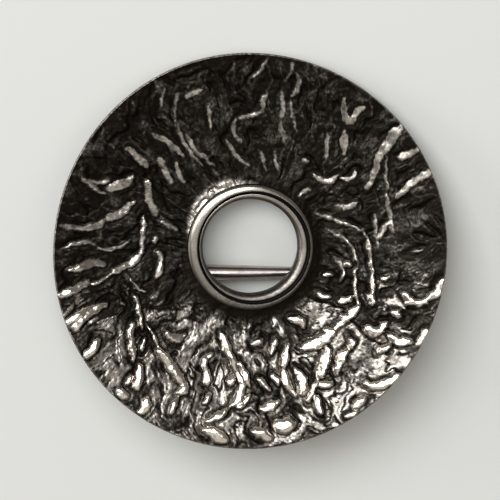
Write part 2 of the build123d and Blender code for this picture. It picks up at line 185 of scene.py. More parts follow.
# Each charted ridge is a curve through three places, in millimetres across and up the face from
# the disc's centre.
ridge_columns = ("across_1", "up_1", "across_2", "up_2", "across_3", "up_3", "half_width")
ridge_rows = (
    (2.1, 22.1, 1.0, 20.5, -0.0, 19.6, 0.20),
    (1.8, 18.0, 1.4, 17.0, 1.4, 16.0, 0.24),
    (1.4, 16.0, 0.1, 15.4, -1.4, 15.1, 0.24),
    (-1.4, 15.1, -1.9, 13.9, -1.0, 12.5, 0.26),
    (4.6, 21.6, 4.5, 20.4, 3.7, 19.2, 0.20),
    (5.2, 20.4, 5.4, 18.8, 4.5, 17.6, 0.26),
    (4.5, 17.6, 4.8, 15.3, 5.3, 13.5, 0.20),
    (3.5, 18.3, 3.6, 16.2, 3.4, 15.0, 0.24),
    (3.4, 15.0, 3.6, 13.7, 4.0, 12.2, 0.28),
    (10.7, 17.5, 10.7, 15.7, 11.3, 14.4, 0.35),
    (13.0, 16.3, 12.0, 15.8, 11.3, 14.4, 0.38),
    (10.7, 13.7, 10.7, 12.2, 10.7, 11.1, 0.38),
    (8.8, 13.4, 8.7, 12.2, 8.7, 10.4, 0.22),
    (17.3, 14.3, 15.7, 12.4, 14.2, 9.8, 0.52),
    (14.6, 11.1, 14.1, 9.0, 13.3, 6.9, 0.35),
    (15.3, 11.1, 15.5, 8.3, 15.5, 6.5, 0.20),
    (15.5, 6.5, 15.9, 4.1, 16.4, 1.7, 0.30),
    (20.6, 9.2, 18.5, 7.7, 16.6, 6.1, 0.46),
    (19.1, 11.7, 17.9, 11.0, 17.0, 10.4, 0.40),
    (10.1, 8.7, 8.7, 7.9, 7.3, 8.7, 0.30),
    (12.0, 9.2, 11.5, 8.2, 10.3, 8.2, 0.30),
    (12.1, 5.3, 11.1, 5.0, 9.6, 5.1, 0.30),
    (7.3, 4.1, 10.1, 3.3, 13.0, 2.1, 0.24),
    (13.0, 2.1, 13.6, 0.9, 13.7, -0.2, 0.24),
    (14.1, 4.3, 14.3, 2.4, 14.5, -0.0, 0.22),
    (15.8, 3.3, 15.1, 2.1, 14.5, 1.1, 0.30),
    (0.9, 11.5, 1.5, 10.4, 1.8, 9.0, 0.20),
    (2.9, 11.5, 2.9, 10.1, 3.3, 9.0, 0.20),
    (6.9, 7.0, 6.2, 6.7, 5.7, 6.1, 0.26),
    (6.7, 10.2, 6.2, 10.2, 5.8, 10.1, 0.25),
    (-9.7, 18.5, -10.1, 17.4, -10.2, 15.9, 0.20),
    (-5.7, 18.5, -6.6, 18.0, -7.4, 17.6, 0.35),
    (-7.7, 18.0, -8.5, 17.2, -8.4, 13.7, 0.18),
    (-8.3, 14.6, -7.4, 12.2, -5.3, 9.6, 0.24),
    (-7.4, 13.4, -6.0, 11.3, -3.9, 9.6, 0.24),
    (-4.8, 16.9, -4.7, 15.4, -4.4, 13.9, 0.25),
    (-2.6, 12.8, -1.8, 11.1, -0.1, 9.6, 0.26),
    (-11.2, 13.5, -9.2, 12.2, -7.6, 10.7, 0.35),
    (-14.2, 12.0, -12.8, 10.7, -11.6, 9.6, 0.40),
    (-10.5, 10.7, -9.7, 9.2, -8.9, 7.6, 0.35),
    (-8.5, 10.1, -8.1, 8.8, -7.3, 7.7, 0.30),
    (-19.1, 8.5, -17.9, 7.4, -16.5, 6.6, 0.28),
    (-13.3, 8.6, -14.7, 7.6, -16.2, 7.1, 0.50),
    (-11.7, 8.3, -11.5, 6.0, -10.6, 4.0, 0.40),
    (-13.2, 5.7, -14.7, 4.4, -16.6, 3.6, 0.42),
    (-16.6, 3.6, -18.6, 2.7, -21.8, 3.1, 0.35),
    (-12.0, 4.1, -12.2, 2.0, -12.3, -0.0, 0.30),
    (-21.8, 0.2, -19.3, 1.1, -17.5, 0.7, 0.25),
    (-17.5, 0.7, -15.7, 0.3, -13.6, 1.2, 0.25),
    (-10.2, 3.3, -9.3, 2.9, -8.2, 2.4, 0.30),
    (-12.3, -0.0, -13.4, -1.1, -16.0, -2.5, 0.42),
    (-16.0, -2.5, -16.9, -3.4, -18.4, -3.8, 0.22),
    (-16.5, -1.4, -18.6, -1.5, -20.7, -2.2, 0.45),
    (-18.4, -3.3, -20.1, -4.3, -21.9, -4.8, 0.45),
    (-16.2, -6.0, -18.4, -6.9, -20.1, -9.0, 0.46),
    (-17.9, -6.3, -19.8, -7.3, -20.9, -8.1, 0.40),
    (-17.4, -10.0, -17.9, -11.0, -18.9, -11.9, 0.42),
    (-13.5, -8.0, -13.6, -10.2, -13.3, -12.5, 0.35),
    (-12.0, -10.0, -12.3, -10.7, -12.5, -11.4, 0.30),
    (-12.7, -12.8, -12.7, -14.4, -13.3, -15.7, 0.42),
    (-10.5, -11.1, -9.0, -13.3, -7.7, -15.0, 0.50),
    (-7.7, -15.0, -7.7, -15.8, -8.3, -16.1, 0.42),
    (-10.5, -0.0, -10.1, -1.4, -10.7, -3.3, 0.30),
    (-9.7, -9.1, -8.8, -10.0, -7.2, -9.5, 0.35),
    (-3.4, -9.4, -2.4, -11.6, -1.7, -13.7, 0.40),
    (-1.7, -13.7, -1.0, -15.7, -2.4, -17.9, 0.35),
    (-2.4, -17.9, -3.8, -18.9, -5.1, -19.4, 0.32),
    (-4.3, -11.8, -5.3, -12.7, -4.9, -13.7, 0.35),
    (-4.9, -13.7, -4.9, -14.7, -5.3, -15.2, 0.42),
    (-1.4, -12.6, -0.6, -14.2, -0.1, -15.7, 0.30),
    (-0.1, -16.5, -0.8, -17.3, -1.7, -17.9, 0.35),
    (-11.8, -16.6, -12.0, -17.6, -12.7, -18.4, 0.42),
    (-15.0, -16.0, -14.7, -16.2, -14.2, -16.5, 0.42),
    (-5.3, -20.3, -3.9, -20.9, -3.0, -21.5, 0.60),
    (-13.3, -4.8, -12.7, -6.9, -12.3, -9.0, 0.22),
    (-14.1, -2.7, -12.7, -4.2, -11.6, -4.8, 0.16),
    (8.6, 2.4, 11.3, 0.7, 12.2, -1.9, 0.22),
    (12.2, -1.9, 11.9, -4.4, 12.5, -6.2, 0.26),
    (13.2, 1.0, 13.9, -2.2, 13.8, -5.4, 0.28),
    (13.7, -5.2, 13.8, -5.6, 13.9, -6.1, 0.42),
    (9.8, -1.1, 10.7, -2.5, 10.3, -3.8, 0.20),
    (11.0, -1.6, 11.2, -1.7, 11.5, -1.8, 0.36),
    (8.3, -3.0, 8.9, -3.0, 9.4, -3.1, 0.24),
    (7.7, -4.8, 8.4, -5.2, 9.1, -5.2, 0.34),
    (9.9, -5.9, 10.8, -5.7, 11.5, -5.3, 0.34),
    (14.9, -3.1, 15.4, -3.2, 15.9, -3.0, 0.30),
    (18.3, -0.2, 19.0, -0.1, 19.8, 0.1, 0.20),
    (17.5, -4.7, 18.5, -5.9, 20.3, -5.5, 0.45),
    (20.3, -5.5, 21.3, -4.6, 22.0, -3.2, 0.42),
    (12.5, -6.2, 11.2, -7.5, 9.4, -9.0, 0.40),
    (9.4, -9.0, 8.2, -10.2, 5.8, -11.0, 0.60),
    (4.4, -8.0, 5.5, -8.0, 6.1, -8.8, 0.38),
    (13.3, -8.6, 14.2, -9.4, 15.5, -8.1, 0.50),
    (16.1, -7.0, 16.5, -7.2, 16.9, -7.6, 0.34),
    (15.8, -9.5, 16.8, -10.4, 18.4, -10.3, 0.42),
    (20.0, -9.0, 19.6, -9.9, 18.9, -10.9, 0.36),
    (14.3, -11.6, 15.1, -11.2, 15.9, -10.8, 0.42),
    (11.3, -9.8, 11.6, -10.6, 11.1, -11.3, 0.30),
    (11.0, -11.3, 10.2, -12.6, 9.8, -14.1, 0.42),
    (8.7, -11.1, 8.4, -12.9, 7.7, -14.6, 0.50),
    (7.7, -14.6, 7.1, -15.9, 6.5, -17.3, 0.32),
    (7.7, -15.2, 8.5, -15.4, 9.4, -15.0, 0.35),
    (4.2, -10.6, 4.0, -12.2, 3.8, -13.6, 0.36),
    (3.8, -13.6, 4.1, -15.0, 5.1, -16.7, 0.38),
    (4.9, -13.4, 5.9, -14.8, 6.0, -16.5, 0.42),
    (7.6, -16.6, 7.7, -17.6, 8.1, -18.6, 0.42),
    (13.0, -14.9, 14.6, -15.4, 17.2, -14.0, 0.38),
    (11.9, -17.8, 12.5, -17.3, 13.0, -16.9, 0.38),
    (10.9, -19.0, 11.6, -18.7, 12.2, -18.4, 0.28),
    (2.8, -19.8, 3.8, -19.9, 4.5, -19.7, 0.75),
    (0.4, -20.3, 1.2, -20.8, 2.1, -21.3, 0.55),
    (1.2, -18.1, 2.1, -17.8, 3.1, -17.2, 0.45),
    (2.4, -14.2, 2.9, -14.8, 3.2, -15.4, 0.32),
    (2.9, -10.0, 2.7, -11.0, 2.4, -12.0, 0.26),
    (0.9, -14.7, 1.5, -15.2, 2.2, -15.9, 0.32),
    (0.3, -10.8, 0.8, -10.6, 1.4, -10.2, 0.30),
    (-2.0, -14.3, -2.2, -14.8, -2.3, -15.2, 0.34),
    (-4.6, -16.2, -5.0, -17.0, -5.5, -17.6, 0.26),
    (-8.2, -16.6, -8.8, -17.6, -9.2, -18.4, 0.28),
    (-13.6, -14.3, -13.9, -14.7, -14.1, -15.1, 0.30),
    (-11.8, -8.6, -11.1, -9.6, -10.5, -11.0, 0.18),
    (-11.0, 0.9, -10.8, 1.2, -10.7, 1.6, 0.30),
    (-18.6, 8.2, -17.2, 7.9, -15.9, 8.1, 0.30),
)


def rim_at(turn):
    """Radius of the rim at one turn."""
    radius = disc_radius
    for row in rim_rows:
        wave = dict(zip(rim_columns, row))
        radius += wave["size"] * cos(wave["count"] * (turn - radians(wave["peak"])))
    return radius


def plate_rings():
    """The plate's rings, from the bore out over the face, round the rim and back under it. Each
    has a radius, a height, its number of points, and marks for wrinkled skin and for the rim."""
    rings = []
    face_end = disc_radius - rim_round
    steps = round((face_end - plate_bore) / face_spacing)
    for step in range(steps + 1):
        radius = plate_bore + (face_end - plate_bore) * step / steps
        turns = finest_turns // 2 if radius < coarse_inside else finest_turns
        rings.append((radius, 0.0, turns, 1.0, 0.0))
    for step in range(1, rim_round_steps + 1):
        turn = pi / 2 * step / rim_round_steps
        radius, height = face_end + rim_round * sin(turn), rim_round * (cos(turn) - 1)
        rings.append((radius, height, finest_turns, 1.0, 1.0))
    low = -plate_thickness
    rings.append((disc_radius, low + rim_round, finest_turns, 0.0, 1.0))
    rings.append((face_end, low, finest_turns // 2, 0.0, 0.0))
    for share in back_shares:
        radius = plate_bore + (disc_radius - plate_bore) * share
        rings.append((radius, low, finest_turns // 4, 0.0, 0.0))
    rings.append((plate_bore, low / 2, finest_turns // 2, 0.0, 0.0))
    return rings


def stitch(faces, first, first_turns, second, second_turns):
    """Joins two rings of the plate, where one may have twice the other's points."""
    for i in range(min(first_turns, second_turns)):
        j = i + 1
        if first_turns == second_turns:
            a, b = first + i, first + j % first_turns
            c, d = second + j % second_turns, second + i
            faces.append((a, d, c, b))
        elif first_turns < second_turns:
            a, b = first + i, first + j % first_turns
            c, d, e = (second + (2 * i + k) % second_turns for k in range(3))
            faces += [(a, c, d), (a, d, b), (b, d, e)]
        else:
            a, b = second + i, second + j % second_turns
            c, d, e = (first + (2 * i + k) % first_turns for k in range(3))
            faces += [(a, d, c), (a, b, d), (b, e, d)]


def plate_blank():
    """The plate before its skin is wrinkled: flat, with the marks that the wrinkling reads."""
    points, faces, lifts, edges, starts, counts = [], [], [], [], [], []
    for radius, height, turns, lift, edge in plate_rings():
        starts.append(len(points))
        counts.append(turns)
        for i in range(turns):
            turn = 2 * pi * i / turns
            sway = 1 + (rim_at(turn) / disc_radius - 1) * (radius / disc_radius) ** 2
            points.append((sway * radius * cos(turn), sway * radius * sin(turn), height))
            lifts.append(lift)
            edges.append(edge)
    for k in range(len(starts)):
        following = (k + 1) % len(starts)
        stitch(faces, starts[k], counts[k], starts[following], counts[following])
    mesh = bpy.data.meshes.new("plate_blank")
    mesh.from_pydata(points, [], faces)
    mesh.attributes.new("lift", "FLOAT", "POINT").data.foreach_set("value", lifts)
    mesh.attributes.new("edge", "FLOAT", "POINT").data.foreach_set("value", edges)
    return mesh


def ridge_lines():
    """All charted ridges as runs of edges. A line is lifted off the plate by as much as its ridge
    is narrower there than the widest one, so the distance to it tells where the ridge ends."""
    points, runs = [], []
    for row in ridge_rows:
        ridge = dict(zip(ridge_columns, row))
        for step in range(ridge_steps + 1):
            t = step / ridge_steps
            shares = (1 - t) * (1 - 2 * t), 4 * t * (1 - t), t * (2 * t - 1)
            across = sum(share * ridge[f"across_{k}"] for k, share in enumerate(shares, 1))
            up = sum(share * ridge[f"up_{k}"] for k, share in enumerate(shares, 1))
            thinned = width_at_ends + (1 - width_at_ends) * (4 * t * (1 - t)) ** 0.5
            low_down = min(1, max(0, (wider_from - up) / wider_over))
            widened = wider_all_over + wider_low_down * low_down
            half_width = ridge["half_width"] * thinned * widened
            lift = (widest_ridge**2 - half_width**2) ** 0.5
            if step:
                runs.append((len(points) - 1, len(points)))
            points.append((across, up, lift))
    mesh = bpy.data.meshes.new("ridge_lines")
    mesh.from_pydata(points, runs, [])
    return mesh


def put_in_scene(name, data):
    """A new object of the scene."""
    thing = bpy.data.objects.new(name, data)
    bpy.context.scene.collection.objects.link(thing)
    return thing


def add_step(tree, kind, inputs=(), **settings):
    """Adds one node to a tree, and fills or joins its inputs by their name or place."""
    node = tree.nodes.new(kind)
    for name, value in settings.items():
        setattr(node, name, value)
    for socket, value in dict(inputs).items():
        if isinstance(value, bpy.types.NodeSocket):
            tree.links.new(value, node.inputs[socket])
        else:
            node.inputs[socket].default_value = value
    return node


def work_out(tree, operation, first, *others):
    """One sum on numbers, which is done again for each value after the second."""
    if not others:
        return add_step(tree, "ShaderNodeMath", {0: first}, operation=operation).outputs[0]
    for other in others:
        inputs = {0: first, 1: other}
        first = add_step(tree, "ShaderNodeMath", inputs, operation=operation).outputs[0]
    return first


def product(tree, *factors):
    """Two or more numbers multiplied with one another."""
    return work_out(tree, "MULTIPLY", *factors)


def work_out_vector(tree, operation, *values, result="Vector"):
    """One sum on vectors, which may end in a number."""
    inputs = dict(enumerate(values))
    if operation == "SCALE":
        inputs = {0: values[0], "Scale": values[1]}
    return add_step(tree, "ShaderNodeVectorMath", inputs, operation=operation).outputs[result]


def add_vectors(tree, first, *others):
    """The sum of two or more vectors."""
    for other in others:
        first = work_out_vector(tree, "ADD", first, other)
    return first


def row_of(tree, columns, row):
    """One row of a table under its columns, with the tree's inputs for the names in it."""
    given = tree.nodes["Group Input"].outputs
    return dict(zip(columns, (given[cell] if isinstance(cell, str) else cell for cell in row)))


def ease(tree, measure, name):
    """The result of one row of the eases for a measure."""
    row = row_of(tree, ease_columns, eases[name])
    inputs = {0: measure, 1: row["start"], 2: row["end"], 3: row["first"], 4: row["last"]}
    step = add_step(tree, "ShaderNodeMapRange", inputs, interpolation_type="SMOOTHSTEP")
    return step.outputs[0]


def noise(tree, place, name, out="Fac"):
    """The noise of one row of the clouds at a place."""
    inputs = row_of(tree, cloud_columns, clouds[name])
    inputs["Vector"] = place
    return add_step(tree, "ShaderNodeTexNoise", inputs).outputs[out]


def unrest(tree, place, name, size=1.0):
    """Noise that swings about zero, as a number."""
    shake = work_out(tree, "SUBTRACT", noise(tree, place, name), 0.5)
    return product(tree, shake, size)


def unrest_vector(tree, place, name, size):
    """Noise that swings about zero, as a vector."""
    shake = noise(tree, place, name, out="Color")
    shake = work_out_vector(tree, "SUBTRACT", shake, (0.5, 0.5, 0.5))
    return work_out_vector(tree, "SCALE", shake, size)


def new_tree(name, sizes):
    """A Geometry Nodes tree with a geometry input and output, and a named input for each size."""
    tree = bpy.data.node_groups.new(name, "GeometryNodeTree")
    tree.interface.new_socket("Geometry", in_out="INPUT", socket_type="NodeSocketGeometry")
    for label, value in sizes.items():
        kind = {float: "Float", int: "Int", tuple: "Vector"}.get(type(value), "Object")
        socket = tree.interface.new_socket(label, in_out="INPUT", socket_type="NodeSocket" + kind)
        if kind != "Object":
            socket.default_value = value
    tree.interface.new_socket("Geometry", in_out="OUTPUT", socket_type="NodeSocketGeometry")
    return tree, tree.nodes.new("NodeGroupInput").outputs


def made_by(tree, name, mesh, sizes):
    """The plain mesh that a tree makes of a starting mesh, laid down and with no modifier left."""
    blank = put_in_scene(name + "_blank", mesh)
    modifier = blank.modifiers.new("maker", "NODES")
    modifier.node_group = tree
    for item in tree.interface.items_tree:
        if item.in_out == "INPUT" and item.name in sizes:
            modifier[item.identifier] = sizes[item.name]
    bpy.context.view_layer.update()
    depsgraph = bpy.context.evaluated_depsgraph_get()
    made = bpy.data.meshes.new_from_object(blank.evaluated_get(depsgraph))
    blank.modifiers.remove(modifier)
    bpy.data.objects.remove(blank)
    made.name = name
    made.transform(laid_down)
    return put_in_scene(name, made)


def distance_from(tree, flat, centre):
    """How far a place on the flat face is from a centre."""
    apart = work_out_vector(tree, "SUBTRACT", flat, centre)
    return work_out_vector(tree, "LENGTH", apart, result="Value")


def along_z(tree, value):
    """A vector that stands straight up."""
    return add_step(tree, "ShaderNodeCombineXYZ", {"Z": value}).outputs[0]


def mark_on_blank(tree, name):
    """A mark that the blank carries at each point."""
    step = add_step(tree, "GeometryNodeInputNamedAttribute", {"Name": name}, data_type="FLOAT")
    return step.outputs["Attribute"]


def face_measures(tree):
    """Where a point of the blank lies on the face, and the marks it carries."""
    position = tree.nodes.new("GeometryNodeInputPosition").outputs[0]
    flat = work_out_vector(tree, "MULTIPLY", position, (1.0, 1.0, 0.0))
    axes = add_step(tree, "ShaderNodeSeparateXYZ", {0: flat}).outputs
    from_band = distance_from(tree, flat, patina_and_shadow_band_centre)
    return {
        "flat": flat,
        "across": axes["X"],
        "up": axes["Y"],
        "radius": work_out_vector(tree, "LENGTH", flat, result="Value"),
        "outward": work_out_vector(tree, "NORMALIZE", flat),
        "beyond patina and shadow band": ease(tree, from_band, "patina and shadow band"),
        "lift": mark_on_blank(tree, "lift"),
        "edge": mark_on_blank(tree, "edge"),
    }


def charted_ridges(tree, given, face):
    """The ridges, round on top, each in a narrow dark valley. Their borders wander because every
    place is read a little to one side of where it is, and they are ragged besides."""
    wander = unrest_vector(tree, face["flat"], "wandering border", given["Border wander"])
    wander = work_out_vector(tree, "MULTIPLY", wander, (1.0, 1.0, 0.0))
    wandering = add_vectors(tree, face["flat"], wander)
    lines = add_step(tree, "GeometryNodeObjectInfo", {"Object": given["Ridge lines"]})
    near = {"Geometry": lines.outputs["Geometry"], "Sample Position": wandering}
    near = add_step(tree, "GeometryNodeProximity", near, target_element="EDGES").outputs

    # Inside is the ridge's half width squared less the distance from its line squared
    away = work_out(tree, "POWER", near["Distance"], 2.0)
    inside = work_out(tree, "SUBTRACT", widest_ridge**2, away)
    lifted = add_step(tree, "ShaderNodeSeparateXYZ", {0: near["Position"]}).outputs["Z"]
    width = work_out(tree, "SUBTRACT", widest_ridge**2, work_out(tree, "POWER", lifted, 2.0))
    crest = work_out(tree, "MAXIMUM", work_out(tree, "ADD", inside, crest_spread), 0.0)
    crest = work_out(tree, "POWER", crest, crest_fullness)
    ragged = unrest(tree, face["flat"], "ragged border", given["Ridge raggedness"])
    inside = work_out(tree, "ADD", inside, product(tree, ragged, width))
    on_ridge = ease(tree, inside, "ridge")
    beside_line = work_out_vector(tree, "SUBTRACT", wandering, near["Position"])
    slant = work_out_vector(tree, "DOT_PRODUCT", beside_line, given["Ridge slant"], result="Value")
    valley = work_out(tree, "SUBTRACT", ease(tree, inside, "valley"), on_ridge)
    deeper_below = ease(tree, face["up"], "valley by height")
    return {
        "wandering": wandering,
        "distance": near["Distance"],
        "on": on_ridge,
        "crest": product(tree, crest, crest_height, on_ridge),
        "slant": product(tree, slant, on_ridge),
        "valley": product(tree, valley, deeper_below),
    }


def folds_between(tree, given, face, ridges):
    """The folds between the ridges: round swells that run outward or alongside the nearest ridge,
    with sharp creases between, and the place at which noise that follows them is read."""
    around = work_out_vector(tree, "SCALE", face["outward"], given["Folds round the disc"])
    along = along_z(tree, work_out(tree, "DIVIDE", face["radius"], given["Fold length"]))
    across = product(tree, ridges["distance"], given["Folds beside a ridge"])
    lengthwise = add_vectors(tree, along, along_z(tree, across))
    swirl = unrest_vector(tree, face["flat"], "swirl", given["Fold swirl"])
    place = add_vectors(tree, around, lengthwise, swirl, given["Seed"])
    broad = unrest(tree, place, "broad folds")
    narrow = work_out(tree, "ABSOLUTE", unrest(tree, place, "narrow folds"))
    broad_swell = product(tree, ease(tree, broad, "broad swell"), broad_share)
    narrow_swell = product(tree, ease(tree, narrow, "narrow swell"), narrow_share)
    return {
        "place": place,
        "along": along,
        "swirl": swirl,
        "broad": broad,
        "narrow": narrow,
        "swell": work_out(tree, "ADD", broad_swell, narrow_swell),
    }


def skin_height(tree, given, face, ridges, folds):
    """How high the skin stands: ridges and folds on a skin that rolls, has a grain, swells towards
    the collar and is flatter along the rim, all on a shallow bowl."""
    clear = work_out(tree, "SUBTRACT", 1.0, product(tree, ridges["on"], crest_smoothing))
    bold = ease(tree, face["up"], "fold height")
    fold_height = product(tree, folds["swell"], bold, face["beyond patina and shadow band"], clear)
    ridge_height = product(tree, ridges["crest"], ease(tree, face["up"], "ridge height"))
    ridge_height = work_out(tree, "ADD", ridge_height, ridges["slant"])
    valley = product(tree, ridges["valley"], valley_depth)
    height = work_out(tree, "ADD", fold_height, ridge_height)
    height = work_out(tree, "SUBTRACT", height, valley)
    rolling = unrest(tree, face["flat"], "rolling", ease(tree, face["up"], "rolling height"))
    grain = unrest(tree, face["flat"], "grain", given["Grain height"])
    grain = product(tree, grain, clear)
    height = work_out(tree, "ADD", height, rolling, grain)
    height = product(tree, height, ease(tree, face["radius"], "relief at the rim"))
    height = work_out(tree, "SUBTRACT", height, given["Skin below the rim"])
    from_hole = distance_from(tree, face["flat"], hole_centre)
    height = work_out(tree, "ADD", height, ease(tree, from_hole, "swell at the collar"))
    height = product(tree, height, face["lift"])
    bowl = work_out(tree, "POWER", work_out(tree, "DIVIDE", face["radius"], disc_radius), 2.0)
    return work_out(tree, "ADD", height, product(tree, bowl, dish_depth))


def rub_of_folds(tree, given, face, ridges, folds, patches, streaks):
    """How far the folds are rubbed. Creases and cracks stay black. Swells and the flat hollows
    between them are part rubbed, in streaks and patches. They are painted brighter towards the
    bottom and darker to the left: painted light and shade on top of the wear."""
    cracks = unrest(tree, ridges["wandering"], "cracks")
    crack = ease(tree, work_out(tree, "ABSOLUTE", cracks), "crack")
    crease = ease(tree, folds["broad"], "crease")
    narrow_crease = ease(tree, folds["narrow"], "narrow crease")
    crease = product(tree, crease, narrow_crease, crack)
    hollow = ease(tree, face["up"], "hollow rub and painted light")
    hollow = product(tree, hollow, ease(tree, folds["broad"], "hollow"))
    rub = work_out(tree, "MAXIMUM", hollow, product(tree, folds["swell"], crease))
    rub = work_out(tree, "MAXIMUM", product(tree, rub, streaks), 0.0)
    rub = work_out(tree, "POWER", rub, ease(tree, face["up"], "contrast of fold rub and painted light"))
    beside_collar = ease(tree, face["radius"], "rub beside the collar")
    painted_shade_left = ease(tree, face["across"], "painted shade to the left")
    cover = ease(tree, face["up"], "fold rub and painted light")
    cover = product(tree, cover, patches, beside_collar, painted_shade_left)
    rub = product(tree, rub, cover, face["beyond patina and shadow band"])
    rub = work_out(tree, "MINIMUM", rub, given["Fullest fold rub and painted light"])
    deep = ease(tree, noise(tree, face["flat"], "deep valleys"), "deep valley")
    kept = work_out(tree, "SUBTRACT", 1.0, product(tree, ridges["valley"], deep))
    return product(tree, rub, kept)


def rub_of_ridges(tree, face, ridges, fibres):
    """How far the ridges are rubbed: in worn patches and frayed at the borders. They are rubbed
    most low down, which is painted light.
    """
    worn = ease(tree, noise(tree, face["flat"], "worn ridges"), "worn ridge")
    worn = product(tree, worn, ease(tree, face["up"], "ridge rub and painted light"))
    frayed = work_out(tree, "ADD", ridges["on"], fibres)
    return product(tree, frayed, worn, ridges["on"])


def rub_of_threads(tree, given, face, folds, patches):
    """How far the fine threads are rubbed that run outward between the ridges, most at the top."""
    place = work_out_vector(tree, "SCALE", face["outward"], given["Threads round the disc"])
    place = add_vectors(tree, place, folds["along"], folds["swirl"])
    threads = work_out(tree, "ABSOLUTE", unrest(tree, place, "threads"))
    threads = ease(tree, threads, "thread")
    higher_up = ease(tree, face["up"], "thread rub")
    in_patches = product(tree, face["beyond patina and shadow band"], patches)
    return product(tree, threads, higher_up, in_patches)


def painted_highlight_of_crescent(tree, given, face, streaks):
    """A painted highlight: the bright crescent at the collar's upper left. The collar covers most
    of its round.
    """
    crescent = ease(tree, distance_from(tree, face["flat"], crescent_centre), "crescent")
    streaked = ease(tree, streaks, "streak of the crescent")
    return product(tree, crescent, streaked, given["Crescent painted highlight"])


def rub_of_skin(tree, given, face, ridges, folds):
    """How far the silver is rubbed, painted light included: its raised places, its plain back and
    the edge of its rim.
    """
    fibres = unrest(tree, folds["place"], "fraying", given["Fraying"])
    streaks = noise(tree, folds["place"], "streaks")
    streaks = ease(tree, work_out(tree, "ADD", streaks, fibres), "streak")
    patches = ease(tree, noise(tree, face["flat"], "patches"), "patch")
    raised = work_out(
        tree,
        "MAXIMUM",
        rub_of_folds(tree, given, face, ridges, folds, patches, streaks),
        rub_of_threads(tree, given, face, folds, patches),
        rub_of_ridges(tree, face, ridges, fibres),
        painted_highlight_of_crescent(tree, given, face, streaks),
    )
    back = product(tree, work_out(tree, "SUBTRACT", 1.0, face["lift"]), given["Back rub"])
    rub = work_out(tree, "ADD", product(tree, raised, face["lift"]), back)
    return work_out(tree, "MAXIMUM", rub, product(tree, face["edge"], given["Rim rub"]))


def wrinkling_tree(sizes, finish):
    """Raises the charted ridges and the folds between them on the blank, dishes it, and marks how
    far each place is rubbed, with the painted light and shade in the same mark."""
    tree, given = new_tree("wrinkling", sizes)
    face = face_measures(tree)
    ridges = charted_ridges(tree, given, face)
    folds = folds_between(tree, given, face, ridges)
    rub = rub_of_skin(tree, given, face, ridges, folds)
    rise = along_z(tree, skin_height(tree, given, face, ridges, folds))
    # The mark holds the silver's rub together with its painted light and shade
    inputs = {"Geometry": given["Geometry"], "Name": "rubbed", "Value": rub}
    step = add_step(tree, "GeometryNodeStoreNamedAttribute", inputs, data_type="FLOAT")
    for kind, inputs in (
        ("GeometryNodeSetPosition", {"Offset": rise}),
        ("GeometryNodeSetShadeSmooth", {}),
        ("GeometryNodeRealizeInstances", {}),
        ("GeometryNodeSetMaterial", {"Material": finish}),
        ("NodeGroupOutput", {}),
    ):
        step = add_step(tree, kind, {"Geometry": step.outputs[0], **inputs})
    return tree


def silver_effect():
    """The effect that all the silver shares: black where it isn't rubbed, mottled where it is part
    rubbed, stained and grainy."""
    tree = bpy.data.node_groups.new("silver", "ShaderNodeTree")
    sockets = {
        "Rub and painted light": "Float",
        "Black": "Color",
        "Bright": "Color",
        "Black roughness": "Float",
        "Bright roughness": "Float",
        "Mottling": "Float",
    }
    for label, kind in sockets.items():
        tree.interface.new_socket(label, in_out="INPUT", socket_type="NodeSocket" + kind)
    for label, kind in {"Colour": "Color", "Roughness": "Float", "Grain": "Float"}.items():
        tree.interface.new_socket(label, in_out="OUTPUT", socket_type="NodeSocket" + kind)
    given = tree.nodes.new("NodeGroupInput").outputs
    place = tree.nodes.new("ShaderNodeTexCoord").outputs["Object"]
    mottled = ease(tree, noise(tree, place, "mottling"), "mottled")
    by_rub = ease(tree, given["Rub and painted light"], "mottling by rub")
    mottled = product(tree, mottled, given["Mottling"], by_rub)
    kept = work_out(tree, "SUBTRACT", 1.0, mottled)
    rubbed = product(tree, given["Rub and painted light"], kept)
    rubbed = work_out(tree, "POWER", rubbed, rub_contrast)
    stained = ease(tree, noise(tree, place, "stain"), "stained")
    bright = work_out_vector(tree, "SCALE", given["Bright"], stained)
    # The mix's factor and its two colours are its inputs 0, 6 and 7
    colour = {0: rubbed, 6: given["Black"], 7: bright}
    results = {
        "Colour": add_step(tree, "ShaderNodeMix", colour, data_type="RGBA").outputs[2],
        "Roughness": ease(tree, rubbed, "roughness"),
        "Grain": noise(tree, place, "silver grain"),
    }
    add_step(tree, "NodeGroupOutput", results)
    return tree


def silver_finish(name, values, grain, grain_depth=0.06 * MM, mark=None):
    """A silver material. Its rub may come from a mark that the mesh carries."""
    material = bpy.data.materials.new(name)
    material.use_nodes = True
    tree = material.node_tree
    shader = tree.nodes["Principled BSDF"].inputs
    inputs = dict(values)
    if mark:
        inputs["Rub and painted light"] = add_step(tree, "ShaderNodeAttribute", attribute_name=mark).outputs["Fac"]
    effect = add_step(tree, "ShaderNodeGroup", inputs, node_tree=silver).outputs
    bump = {"Height": effect["Grain"], "Strength": grain, "Distance": grain_depth}
    bump = add_step(tree, "ShaderNodeBump", bump)
    tree.links.new(effect["Colour"], shader["Base Color"])
    tree.links.new(effect["Roughness"], shader["Roughness"])
    tree.links.new(bump.outputs[0], shader["Normal"])
    shader["Metallic"].default_value = 1.0
    return material


